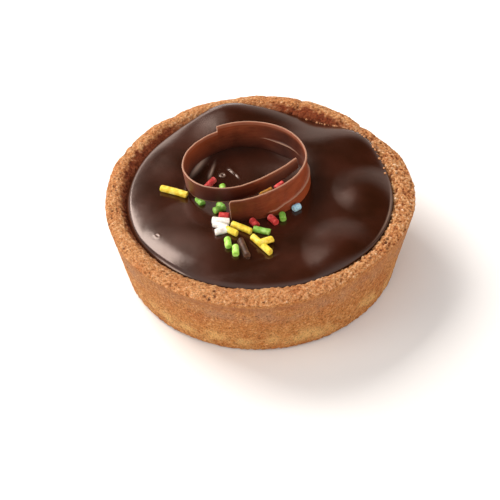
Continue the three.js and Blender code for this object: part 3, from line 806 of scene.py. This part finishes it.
def chocolate_glaze():
    azimuth = np.arange(GLAZE_SECTORS) / GLAZE_SECTORS * 2 * math.pi
    edge = glaze_edge(azimuth)
    points = []
    for share, z in GLAZE_SIDE:
        points.append(ring_points(share * (well_radius(azimuth, z) - GLAZE_GAP), azimuth, z))
    for ring in range(GLAZE_RINGS, 0, -1):
        share = 1 - (1 - ring / GLAZE_RINGS) ** RING_CROWDING
        x, y = edge * share * np.cos(azimuth), edge * share * np.sin(azimuth)
        z = glaze_height(x, y) - crevice_drop(x, y)
        reach = well_radius(azimuth, z) - GLAZE_GAP if share == 1 else edge * share
        points.append(ring_points(reach, azimuth, z))
    rows = len(points)
    points = np.vstack(points)
    top = np.arange(len(points)) >= len(GLAZE_SIDE) * GLAZE_SECTORS
    x, y = points[top, 0], points[top, 1]
    flat = np.stack([x, y, 0 * x], 1)
    points[top, 2] += sum(height * noise_at(flat, *grain) for height, *grain in GLAZE_RIPPLES)
    points[top, 2] += blemish_height(x, y)
    poles = np.array([[0, 0, GLAZE_FOOT], [0, 0, glaze_at(0, 0)]])
    glaze = mesh_object("glazed_filling", np.vstack([points, poles]), turned_faces(rows, GLAZE_SECTORS))
    # Paleness of bubble rims, and painted highlights on folds and near the edge.
    bloom = np.zeros(len(points))
    bloom[top] = blemish_bloom(x, y)
    add_attributes(glaze, bloom=bloom)
    glaze.data.materials.append(glaze_material())
    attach(glaze, "root")
    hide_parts("chocolate_filling")


# ---- sprinkles ----
# Main, pale and dark colour.
SUGAR = {
    "yellow": ("#f2d544", "#fbec86", "#d4b02a"),
    "orange": ("#f2ae4c", "#f8cf85", "#cf842a"),
    "green": ("#86bd4c", "#b9e488", "#5f9a30"),
    "light_green": ("#a5dc57", "#caf08d", "#7eb83a"),
    "red": ("#d4413f", "#ee7672", "#a82527"),
    "white": ("#f3eee6", "#ffffff", "#d9d0c6"),
    "blue": ("#b4dcee", "#dff3fb", "#87bdd6"),
    "brown": ("#4d2f20", "#74503b", "#341c12"),
}
SPRINKLE_SIDES = 24
SPRINKLE_EDGE = 0.3
# Each end's rings as (distance in from the end, share of the radius): the dished cut and its edge.
SPRINKLE_END = [(0.05, 0.35), (0.01, 0.62), (0.0, 0.8), (0.05, 0.9), (0.13, 0.965), (0.3, 1.0)]
SPRINKLE_MIDDLE = 8
SPRINKLE_RINGS = 2 * len(SPRINKLE_END) + SPRINKLE_MIDDLE
# Each sprinkle's own thickness, bow for its length, and slant of its ends.
SPRINKLE_GIRTH = (0.94, 1.02)
SPRINKLE_BOW = 0.1 / 6
SPRINKLE_SLANT = 0.16
SPRINKLE_DISH = 0.06
# Their sides are uneven: share of the radius, and waves for each step round and millimetre along.
SPRINKLE_UNEVEN = [(0.035, 1), (0.015, 3)]
UNEVEN_ROUND = 1.2


def sprinkle_ring(ring):
    """(inset, share of the radius) of a ring; a middle ring's inset is -1 - its place, -1 to 1."""
    last = len(SPRINKLE_END)
    if ring < last:
        return SPRINKLE_END[ring]
    if ring >= last + SPRINKLE_MIDDLE:
        return SPRINKLE_END[SPRINKLE_RINGS - 1 - ring]
    place = (ring - last + 1) / (SPRINKLE_MIDDLE + 1)
    return -1 - (2 * place - 1), 1.0


def sprinkle_points(row, draw):
    """A short sugar rod with worn ends, lying on the glaze."""
    x, y, heading, length, lift = row
    turn = math.radians(heading)
    bearing = SPRINKLE_BEARING * length
    ahead = glaze_at(x + bearing * math.cos(turn), y + bearing * math.sin(turn))
    behind = glaze_at(x - bearing * math.cos(turn), y - bearing * math.sin(turn))
    ground = max(glaze_at(x, y), (ahead + behind) / 2)
    tilt = math.atan2(ahead - behind, 2 * bearing)
    place = (
        Matrix.Translation((x, y, ground + SPRINKLE_RADIUS - SPRINKLE_SINK + lift))
        @ Matrix.Rotation(turn, 4, "Z") @ Matrix.Rotation(-tilt, 4, "Y")
    )
    bow = draw.uniform(-SPRINKLE_BOW, SPRINKLE_BOW) * length
    seed = draw.uniform(0, 50)
    radius = SPRINKLE_RADIUS * draw.uniform(*SPRINKLE_GIRTH)
    cuts = [draw.uniform(-SPRINKLE_SLANT, SPRINKLE_SLANT) for _ in range(4)]
    points = []
    for ring in range(SPRINKLE_RINGS):
        inset, shrink = sprinkle_ring(ring)
        end = -1 if ring < SPRINKLE_RINGS / 2 else 1
        body = length / 2 - inset if inset >= 0 else (length / 2 - SPRINKLE_EDGE) * (-inset - 1)
        along = end * body if inset >= 0 else body
        cut = cuts[0:2] if end < 0 else cuts[2:4]
        for side in range(SPRINKLE_SIDES):
            angle = 2 * math.pi * side / SPRINKLE_SIDES
            up, out = math.cos(angle), math.sin(angle)
            spot = Vector((along, up * UNEVEN_ROUND + seed, out * UNEVEN_ROUND))
            uneven = sum(share * noise.noise(spot * rate) for share, rate in SPRINKLE_UNEVEN)
            r = radius * shrink * (1 + uneven)
            slant = (cut[0] * up + cut[1] * out) * r if inset >= 0 else 0
            bend = bow * (1 - 4 * (along / length) ** 2)
            points.append(place @ Vector((along + slant, r * up + bend, r * out)))
    for end, dish in ((-1, cuts[0]), (1, cuts[2])):
        points.append(place @ Vector((end * (length / 2 - SPRINKLE_DISH - 0.2 * abs(dish)), 0, 0)))
    return points


def sugar_sprinkles():
    draw = random.Random(SEED)
    for colour, rows in SPRINKLES.items():
        points, faces = [], []
        for row in rows:
            faces += turned_faces(SPRINKLE_RINGS, SPRINKLE_SIDES, len(points))
            points += sprinkle_points(row, draw)
        piece = mesh_object(f"sprinkles_{colour}", [tuple(point) for point in points], faces)
        piece.data.materials.append(sugar_material(f"sugar_{colour}", *SUGAR[colour]))
        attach(piece, "root")
        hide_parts("chocolate_filling")


# ---- ribbon curl ----
RIBBON_STATIONS = 480
UPPER_LEVELS = 22
STRIP_LEVELS = 6
# The crack is this much higher outside than inside, where the strip has moved.
NECK = 0.12
# Paleness of the painted highlight along the ledge line, and the ledge's bevel.
LEDGE_EDGE = 0.9
LEDGE_BEVEL = 0.11
# Rounding of the band's long edges: across, down, and how far the middle stands proud.
ROUND_WIDTH = 0.07
ROUND_DROP = 0.08
ROUND_CROWN = 0.03
# The upper edge is doubled inside by a second fine painted highlight line: this far under it, its half
# width, and how pale it is.
LIP_DROP = 0.75
LIP_WIDTH = 0.06
LIP_EDGE = 0.35
FOOT_SINK = 0.35
LEAST_STRIP = 1.0
# Painted highlight on the lower edge: height, paleness, and the lift off the glaze from which it is
# full.
HEM = 0.3
HEM_EDGE = 0.8
HEM_FULL_LIFT = 0.9
# Painted highlight on the upper edge: paleness of its inner side, and where it is duller: azimuth and
# spread.
EDGE_INNER = 0.55
EDGE_DULL = 0.35
EDGE_DULL_AT = (235, 25)
# Uneven edges: height, waves a degree, offset. Uneven sides: depth, waves a degree and a millimetre.
RAGGED = [(0.09, 0.13, 0), (0.05, 0.5, 4)]
BULGE = 0.05
BULGE_SCALE = (0.06, 0.3)
# Painted shade: how dark the outside is at its foot, and on the tail from which azimuths on, and its
# paler part.
OUTER_SHADE = 0.3
TAIL_SHADE = 0.75
TAIL_DARKENS = (165, 225)
TAIL_PALER = 0.7
TAIL_PALES = (225, 268)
# Painted shade where the outside of the front end and the inside of the far wall are darker: azimuth
# and spread.
FRONT_SHADE = 0.6
FRONT_DARK = (-98, 26)
INNER_SHADE = 0.92
INNER_DARK = (40, 46)
INNER_DARKENS = (0.02, 0.2)
INNER_FADE = 1.1
TAIL_INSIDE_FROM = 296
# Painted glow where light shines through the thin chocolate: azimuth and spread; less above the strip.
WARM_SIDE = (165, 45)
WARM_STRIP = (-12, 42)
WARM_ABOVE = 0.4
# Azimuths between which the tail's outside turns greyer.
TAIL_DUSTY = (280, 345)


def route_points():
    """The ribbon's upper edge as plan points with lean, and their azimuths."""
    rows = []
    for azimuth, radius, lean in RIBBON_ROUTE:
        angle = math.radians(azimuth)
        rows.append((
            CURL_CENTRE[0] + radius * math.cos(angle), CURL_CENTRE[1] + radius * math.sin(angle), lean,
        ))
    return np.array(rows), np.array([row[0] for row in RIBBON_ROUTE], dtype=float)


ROUTE, ROUTE_AZIMUTHS = route_points()


def centripetal(t):
    """A point of the centripetal Catmull-Rom curve through ROUTE at parameter t, 0 to 1."""
    last = len(ROUTE) - 1
    place = min(max(t * last, 0), last - 1e-9)
    i = int(place)
    w = place - i
    p1, p2 = ROUTE[i], ROUTE[i + 1]
    p0 = ROUTE[i - 1] if i > 0 else 2 * ROUTE[0] - ROUTE[1]
    p3 = ROUTE[i + 2] if i + 2 <= last else 2 * ROUTE[last] - ROUTE[last - 1]
    d0 = max(np.sum((p0 - p1) ** 2) ** 0.25, 1e-4)
    d1 = np.sum((p1 - p2) ** 2) ** 0.25
    d2 = max(np.sum((p2 - p3) ** 2) ** 0.25, 1e-4)
    m1 = ((p1 - p0) / d0 - (p2 - p0) / (d0 + d1) + (p2 - p1) / d1) * d1
    m2 = ((p2 - p1) / d1 - (p3 - p1) / (d1 + d2) + (p3 - p2) / d2) * d1
    c2 = -3 * p1 + 3 * p2 - 2 * m1 - m2
    c3 = 2 * p1 - 2 * p2 + m1 + m2
    return p1 + m1 * w + c2 * w ** 2 + c3 * w ** 3


def station(t):
    """A place on the route: point with lean, inward direction, azimuth."""
    step = 1e-4
    tangent = centripetal(min(1, t + step)) - centripetal(max(0, t - step))
    length = math.hypot(tangent[0], tangent[1])
    azimuth = float(np.interp(t * (len(ROUTE) - 1), range(len(ROUTE)), ROUTE_AZIMUTHS))
    return centripetal(t), (-tangent[1] / length, tangent[0] / length), azimuth


def ribbon_top(azimuth):
    from_end = (azimuth - ROUTE_AZIMUTHS[0]) / FRONT_CORNER_ANGLE
    corner = min(max(1 - from_end, 0), 1) ** 2
    full = TORN_TOP if azimuth > TORN_AT else RIBBON_TOP - corner
    return full + TAIL_RISE * smoothstep(azimuth, *TAIL_RISES)


def ribbon_point(spot, z, shift):
    point, inward, azimuth = spot
    across = point[2] * (RIBBON_TOP - z) / RIBBON_LEAN_HEIGHT + shift
    down = min(max((ribbon_top(azimuth) - z) / RIBBON_LEAN_HEIGHT, 0), 1)
    tail = smoothstep(azimuth, ROUTE_AZIMUTHS[-1] - TAIL_SLANT_ANGLE, ROUTE_AZIMUTHS[-1])
    front = 1 - smoothstep(azimuth, ROUTE_AZIMUTHS[0], ROUTE_AZIMUTHS[0] + FRONT_SLANT_ANGLE)
    along = tail * TAIL_SLANT * down + front * FRONT_SLANT * (down - FRONT_SLANT_PIVOT)
    x = point[0] + inward[0] * across + inward[1] * along
    y = point[1] + inward[1] * across - inward[0] * along
    return (x, y, z)


def resting_height(spot, shift):
    feet = [ribbon_point(spot, FILLING_LEVEL, shift + side * RIBBON_THICKNESS / 2) for side in (-1, 1)]
    return max(glaze_at(x, y) for x, y, _ in feet)


def look_up(rows, key):
    """The value at a key, eased between rows of (key, value)."""
    keys = [row[0] for row in rows]
    if key <= keys[0]:
        return rows[0][1]
    if key >= keys[-1]:
        return rows[-1][1]
    after = next(i for i, value in enumerate(keys) if value > key)
    share = smoothstep(key, keys[after - 1], keys[after])
    return rows[after - 1][1] + (rows[after][1] - rows[after - 1][1]) * share


def section_loop(low, crack, high, shift, neck, hem):
    """One cross-section, once round: (offset to the inner side, height, painted highlight weight).
    Below the crack the section is moved outwards by shift; hem weights the lower edge's painted
    highlight."""
    half = RIBBON_THICKNESS / 2
    worn = half - ROUND_WIDTH
    loop = [(0, low - 0.02, hem), (-worn - shift, low, hem), (-half - shift, low + HEM, hem)]
    strip_top, upper_foot = crack + neck, crack - neck
    for z in np.linspace(low + HEM + ROUND_DROP, strip_top - LEDGE_BEVEL, STRIP_LEVELS):
        loop.append((-half - shift, z, 0.0))
    loop.append((-half - shift, strip_top, LEDGE_EDGE))
    for z in np.linspace(strip_top + LEDGE_BEVEL, high - LIP_DROP, UPPER_LEVELS):
        loop.append((-half, z, 0.0))
    loop += [(-half, high - ROUND_DROP, 0.0), (-worn, high, 1.0), (0, high + ROUND_CROWN, 1.0)]
    loop += [(worn, high, EDGE_INNER), (half, high - ROUND_DROP, 0.0)]
    loop.append((half, high - LIP_DROP + LIP_WIDTH, LIP_EDGE))
    for z in np.linspace(high - LIP_DROP - LIP_WIDTH, upper_foot + LEDGE_BEVEL, UPPER_LEVELS):
        loop.append((half, z, 0.0))
    loop.append((half - shift, upper_foot, LEDGE_EDGE))
    for z in np.linspace(upper_foot - LEDGE_BEVEL, low + 0.1, STRIP_LEVELS):
        loop.append((half - shift, z, 0.0))
    loop.append((worn - shift, low, hem))
    return loop


def near(azimuth, place):
    """Weight of a place, given as azimuth and spread, at an azimuth in degrees."""
    return float(bump_at(math.radians(azimuth), *place))


def ribbon_tones(azimuth, depth, offset, on_strip):
    """(painted shade, painted glow of light shining through, greyness of the tail) of a point; depth
    is its share of the way down the ribbon, and offset is positive on the inner side."""
    if offset > 0:
        far_side = INNER_SHADE * near(azimuth, INNER_DARK) * smoothstep(depth, *INNER_DARKENS)
        shade = max(depth ** INNER_FADE, far_side * (azimuth < TAIL_INSIDE_FROM))
        return shade, near(azimuth, WARM_SIDE) * (1 - depth), 0
    shade = OUTER_SHADE * depth + TAIL_SHADE * smoothstep(azimuth, *TAIL_DARKENS)
    shade -= TAIL_PALER * smoothstep(azimuth, *TAIL_PALES)
    shade += FRONT_SHADE * near(azimuth, FRONT_DARK)
    if offset == 0:
        return shade, 0, 0
    warm = near(azimuth, WARM_STRIP) * (azimuth < TORN_AT) * (1 if on_strip else WARM_ABOVE)
    return shade, warm, smoothstep(azimuth, *TAIL_DUSTY)


def ribbon_curl():
    tear = float(np.interp(TORN_AT, ROUTE_AZIMUTHS, np.linspace(0, 1, len(ROUTE))))
    parameters = np.concatenate([
        np.linspace(0, tear, round(RIBBON_STATIONS * tear)),
        np.linspace(tear + 1e-4, 1, round(RIBBON_STATIONS * (1 - tear))),
    ])
    points, edge, tones = [], [], []
    for t in parameters:
        spot = station(t)
        azimuth = spot[2]
        shift = look_up(STRIP_SHIFT, azimuth)
        neck = NECK * math.tanh(shift / NECK)
        foot = resting_height(spot, -shift)
        lift = TAIL_LIFT * smoothstep(azimuth, *TAIL_LIFTS)
        low = foot + lift - FOOT_SINK * max(0, 1 - lift)
        top = ribbon_top(min(azimuth, TORN_AT) if t <= tear else max(azimuth, TORN_AT + 1))
        ragged = sum(
            height * noise.noise(Vector((azimuth * rate, 1, offset))) for height, rate, offset in RAGGED
        )
        crack = max(foot + look_up(STRIP_HEIGHT, azimuth), low + LEAST_STRIP)
        crack += 2 * ragged * (STRIP_SHIFT[0][0] < azimuth < STRIP_SHIFT[-1][0])
        # Strength of the painted highlights on the lower and the upper edge.
        hem = HEM_EDGE * min(lift / HEM_FULL_LIFT, 1)
        bright = 1 - EDGE_DULL * near(azimuth, EDGE_DULL_AT)
        for offset, z, weight in section_loop(low, crack, top + ragged, shift, neck, hem):
            bulge = BULGE * noise.noise(Vector((azimuth * BULGE_SCALE[0], z * BULGE_SCALE[1], 3)))
            points.append(ribbon_point(spot, z, offset + bulge))
            # Painted highlight weight; the ledge line's fades where the strip has not moved.
            edge.append(min(weight, abs(shift) / NECK) if weight == LEDGE_EDGE else bright * weight)
            depth = min(max((top - z) / (top - low), 0), 1)
            tones.append(ribbon_tones(azimuth, depth, offset, z < crack))
    around = len(points) // len(parameters)
    last = len(points) - around
    faces = [(a, d, c, b) for a, b, c, d in quads(0, last, around)]
    faces += [tuple(range(around)), tuple(last + j for j in reversed(range(around)))]
    # Painted highlight over both cut ends.
    edge[:around] = edge[last:] = [1.0] * around
    curl = mesh_object("ribbon_curl", points, faces)
    shade, warm, dusty = zip(*tones)
    add_attributes(curl, edge=edge, shade=shade, warm=warm, dusty=dusty)
    curl.data.materials.append(ribbon_material())
    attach(curl, "root")
    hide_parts("chocolate_curl")


# ---- stage ----
CAMERA_TARGET = (-3.01, -8.49, 10.0)
CAMERA_DISTANCE = 417.8
CAMERA_ELEVATION = 43.46
CAMERA_ROLL = 2.63
CAMERA_LENS = 115.2
SENSOR = 36.0
FLOOR_HALF = 3000
FLOOR_DROP = 0.2
# Colour of the surroundings by the height of the direction: horizon, ceiling; and pale in front,
# between these parts of the direction.
WORLD_GREYS = [(0.36, (0.9, 0.76, 0.68)), (0.6, (0.03, 0.025, 0.02))]
FRONT_GREY = 0.95
FRONT_TURN = (0.4, -0.1)
LIGHTS_AIM = (0, 0, 0.02)
# Name, place and size in metres, watts, colour.
LIGHTS = [
    ("key", (-0.64, 0.58, 0.82), (0.68, 0.75), 17, (1.0, 0.94, 0.88)),
    ("glow", (-0.2, 0.743, 0.875), (0.25, 0.25), 0.2, (1.0, 0.85, 0.75)),
    ("rear", (-0.38, 1.05, 0.47), (0.5, 0.3), 1.3, (1.0, 0.9, 0.82)),
    ("side", (-1.22, -0.34, 0.43), (0.6, 0.6), 6.4, (1.0, 0.9, 0.78)),
    ("bounce", (0.6, -0.75, 0.14), (0.5, 0.2), 1.9, (1.0, 0.62, 0.3)),
]


def camera():
    data = bpy.data.cameras.new("camera")
    data.lens = CAMERA_LENS
    data.sensor_width = SENSOR
    data.sensor_fit = "HORIZONTAL"
    data.clip_start = 0.01
    data.clip_end = 20
    obj = put("camera", data)
    lift, roll = math.radians(CAMERA_ELEVATION), math.radians(CAMERA_ROLL)
    back = Vector((0, -math.cos(lift), math.sin(lift)))
    right = Vector((1, 0, 0))
    up = back.cross(right)
    image_right = right * math.cos(roll) - up * math.sin(roll)
    image_up = right * math.sin(roll) + up * math.cos(roll)
    matrix = Matrix((image_right, image_up, back)).transposed().to_4x4()
    matrix.translation = (Vector(CAMERA_TARGET) + back * CAMERA_DISTANCE) * MM
    obj.matrix_world = matrix
    bpy.context.scene.camera = obj


def floor():
    corners = [(-1, -1), (1, -1), (1, 1), (-1, 1)]
    points = [(FLOOR_HALF * x, FLOOR_HALF * y, 0) for x, y in corners]
    obj = mesh_object("floor", points, [(0, 1, 2, 3)])
    obj.location.z = -FLOOR_DROP * MM
    paper = Surface("floor").finish(Base_Color=rgba(0.9), Roughness=0.9, Specular_IOR_Level=0.1)
    obj.data.materials.append(paper)


def area_light(name, position, size, watts, colour):
    data = bpy.data.lights.new(name, "AREA")
    data.shape = "RECTANGLE"
    data.size, data.size_y = size
    data.energy = watts
    data.color = colour
    obj = put(name, data)
    obj.location = position
    direction = Vector(LIGHTS_AIM) - Vector(position)
    obj.rotation_euler = direction.to_track_quat("-Z", "Y").to_euler()


def lights():
    """A pale horizon behind, a pale side in front, a dark ceiling, and soft lights round the tart."""
    world = bpy.data.worlds.new("world")
    bpy.context.scene.world = world
    sky = Nodes(world, "Generated")
    split = sky.new("SeparateXYZ", Vector=sky.coordinates)
    low, high = FRONT_TURN
    ahead = sky.new("MapRange", Value=split.outputs["Y"], From_Min=low, From_Max=high)
    greys = sky.ramp(split.outputs["Z"], *WORLD_GREYS)
    colour = sky.mix(ahead.outputs["Result"], greys, FRONT_GREY)
    sky.set(sky.tree.nodes["Background"], Color=colour, Strength=1.0)
    for light in LIGHTS:
        area_light(*light)
    bpy.context.scene.view_settings.view_transform = "Standard"


# ---- scene ----
camera()
pastry_crust()
pastry_crumbs()
chocolate_glaze()
sugar_sprinkles()
ribbon_curl()
floor()
lights()
